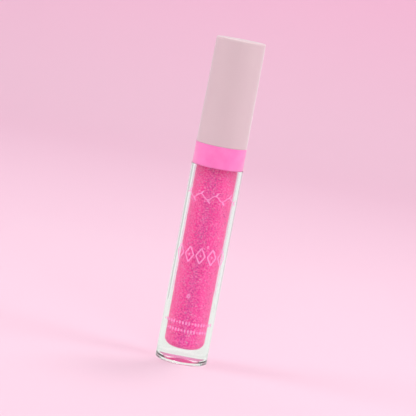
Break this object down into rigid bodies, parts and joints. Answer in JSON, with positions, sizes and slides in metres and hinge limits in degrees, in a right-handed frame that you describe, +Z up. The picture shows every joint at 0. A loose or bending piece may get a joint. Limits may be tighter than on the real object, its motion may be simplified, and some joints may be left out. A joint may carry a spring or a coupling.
{
  "type": "lip gloss tube",
  "caption": "Upright round lip gloss tube: clear thick-walled bottle of pink glitter gloss, pink shoulder band and matte screw cap that carries the applicator wand.",
  "frame": {"origin": "centre of the foot ring's plane, on the tube's axis", "axes": "+Z up along the tube's axis, towards the cap; -Y towards the face that the view is taken from"},
  "size_m": [0.018, 0.018, 0.1125],
  "materials": {
    "clear_wall": "clear moulded plastic, polished",
    "gloss": "translucent liquid with fine glitter",
    "collar": "satin",
    "wiper": "soft natural polyethylene",
    "washer": "soft foam",
    "rod": "smooth moulded",
    "tip": "soft moulded",
    "flock": "short fibre flock",
    "inner_cap": "natural moulded",
    "cap": "matte"
  },
  "bodies": {
    "bottle": {"bottle": "clear_wall", "gloss": "gloss", "collar": "collar", "wiper": "wiper"},
    "seal": {"sealing_washer": "washer"},
    "stem": {"rod": "rod"},
    "cap": {"inner_cap": "inner_cap", "outer_cap": "cap", "applicator_tip": "tip", "tip_flock": "flock"}
  },
  "joints": [
    {"name": "wand_lift", "type": "slide", "parent": "bottle", "child": "seal", "axis": [0, 0, 1], "range_m": [0, 0.085]},
    {"name": "thread_rise", "type": "slide", "parent": "seal", "child": "stem", "axis": [0, 0, 1], "range_m": [0, 0.0028]},
    {"name": "cap_turn", "type": "hinge", "parent": "stem", "child": "cap", "pos_m": [0, 0, 0.08], "axis": [0, 0, 1], "range_deg": [0, 480]}
  ],
  "couplings": [
    {"joint": "thread_rise", "follows": "cap_turn", "m_per_rad": 0.00033423}
  ]
}
